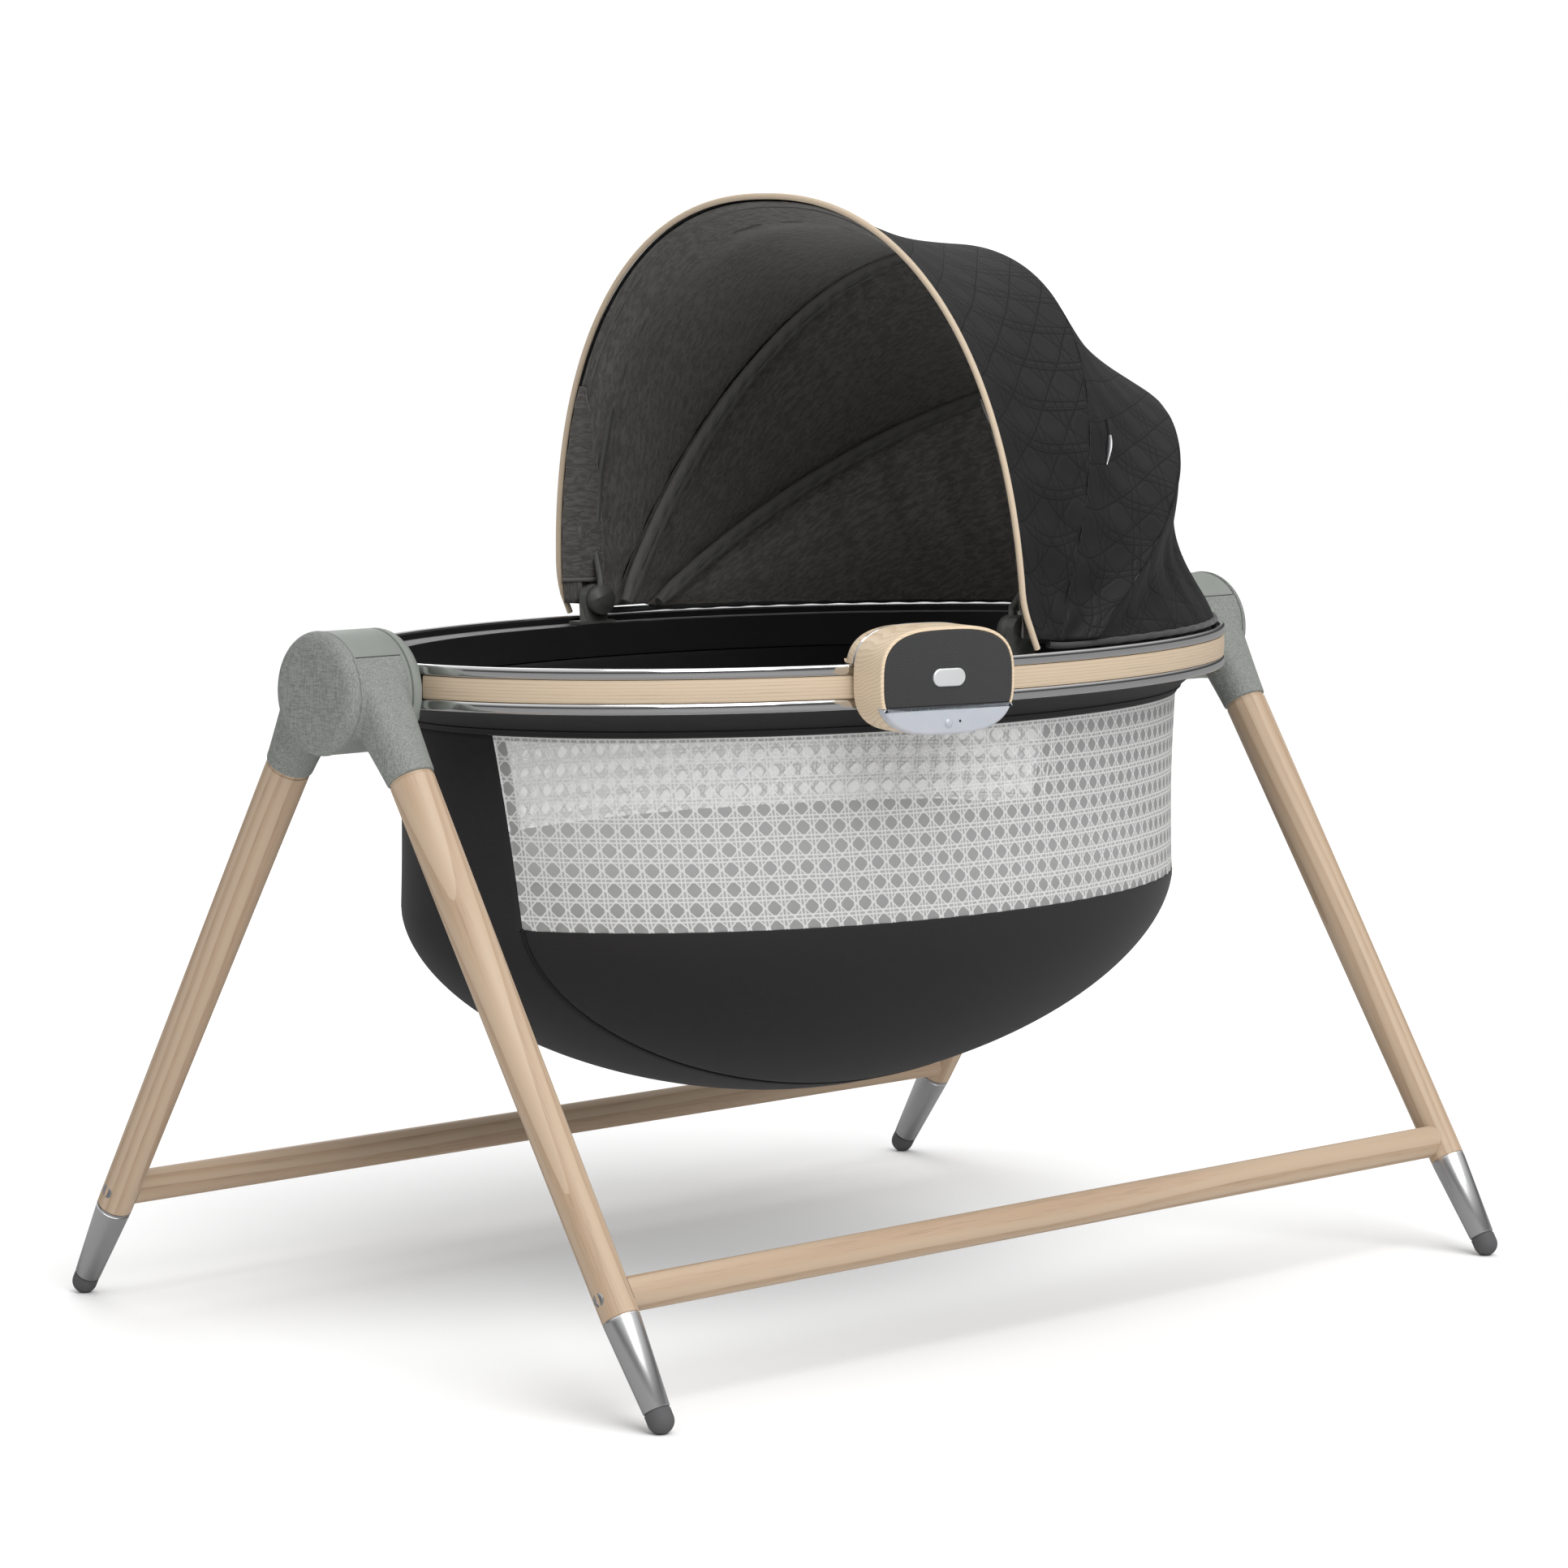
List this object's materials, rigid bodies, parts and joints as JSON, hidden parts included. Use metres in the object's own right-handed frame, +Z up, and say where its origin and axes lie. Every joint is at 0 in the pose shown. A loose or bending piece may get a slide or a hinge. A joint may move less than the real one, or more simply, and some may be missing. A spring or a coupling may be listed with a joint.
{
  "type": "bassinet on stand",
  "caption": "Rocking oval bassinet with mesh sides and a folding canopy, hung from two hubs on a wooden A-frame stand, with a control unit on the rim.",
  "frame": {"origin": "on the floor, midway between the four feet", "axes": "+X along the rocking axis towards the canopy end, -Y towards the side with the control unit, +Z up"},
  "size_m": [1.2166, 0.8542, 1.064],
  "materials": {
    "ash_wood": "satin lacquered ash",
    "polished_metal": "polished gunmetal",
    "chrome": "polished",
    "steel": "zinc plated",
    "rubber": "matte",
    "hub_plastic": "grey-green with a fine woven texture",
    "dark_plastic": "matte black",
    "grey_plastic": "matte dark grey",
    "rim_veneer": "pale wood look, satin",
    "stretch_fabric": "charcoal stretch knit",
    "window_mesh": "pale knitted mesh with a cane pattern",
    "mattress_cover": "soft white cover",
    "board": "hardboard",
    "canopy_cloth": "quilted charcoal",
    "piping": "pale beige piping",
    "speaker_cloth": "dark twill",
    "badge_metal": "satin, blank",
    "diffuser": "translucent white",
    "clear_lens": "milky lens"
  },
  "bodies": {
    "stand": {"bearing_left": "steel", "bearing_right": "steel", "drive_motor": "steel", "ferrule_front_left": "polished_metal", "ferrule_front_right": "polished_metal", "ferrule_rear_left": "polished_metal", "ferrule_rear_right": "polished_metal", "foot_front_left": "rubber", "foot_front_right": "rubber", "foot_rear_left": "rubber", "foot_rear_right": "rubber", "hub_cover_left": "hub_plastic", "hub_cover_right": "hub_plastic", "hub_housing_left": "hub_plastic", "hub_housing_right": "hub_plastic", "leg_front_left": "ash_wood", "leg_front_right": "ash_wood", "leg_rear_left": "ash_wood", "leg_rear_right": "ash_wood", "leg_socket_front_left": "hub_plastic", "leg_socket_front_right": "hub_plastic", "leg_socket_rear_left": "hub_plastic", "leg_socket_rear_right": "hub_plastic", "rail_bolt_front_left": "steel", "rail_bolt_front_right": "steel", "rail_bolt_rear_left": "steel", "rail_bolt_rear_right": "steel", "rail_front": "ash_wood", "rail_rear": "ash_wood"},
    "basket": {"badge_plate": "badge_metal", "basket_fabric": "stretch_fabric", "canopy_bow_rear": "grey_plastic", "canopy_panel_rear": "canopy_cloth", "canopy_post_front": "grey_plastic", "canopy_post_rear": "grey_plastic", "chrome_ring_lower": "chrome", "chrome_ring_upper": "chrome", "control_front_housing": "rim_veneer", "control_rear_housing": "rim_veneer", "lower_frame": "steel", "mattress": "mattress_cover", "mattress_board": "board", "mesh_window_front": "window_mesh", "mesh_window_rear": "window_mesh", "motion_sensor_lens": "clear_lens", "night_light_diffuser": "diffuser", "rim_band_front": "rim_veneer", "rim_band_rear": "rim_veneer", "rim_bracket_left": "hub_plastic", "rim_bracket_right": "hub_plastic", "rim_frame": "dark_plastic", "rotor_cap_left": "hub_plastic", "rotor_cap_right": "hub_plastic", "speaker_driver": "dark_plastic", "speaker_grille": "speaker_cloth"},
    "middle_bow": {"canopy_bow_middle": "grey_plastic", "canopy_panel_middle": "canopy_cloth"},
    "front_bow": {"canopy_bow_front": "grey_plastic", "canopy_piping": "piping", "canopy_panel_front": "canopy_cloth"}
  },
  "joints": [
    {"name": "basket_rock", "type": "hinge", "parent": "stand", "child": "basket", "pos_m": [0, 0, 0.614], "axis": [1, 0, 0], "range_deg": [-10, 10]},
    {"name": "middle_bow_fold", "type": "hinge", "parent": "basket", "child": "middle_bow", "pos_m": [0, 0, 0.655], "axis": [0, 1, 0], "range_deg": [0, 23], "deforming": ["canopy_panel_middle"]},
    {"name": "front_bow_fold", "type": "hinge", "parent": "middle_bow", "child": "front_bow", "pos_m": [0, 0, 0.655], "axis": [0, 1, 0], "range_deg": [0, 23], "deforming": ["canopy_panel_front"]}
  ],
  "couplings": [
    {"joint": "front_bow_fold", "follows": "middle_bow_fold", "ratio": 1}
  ]
}
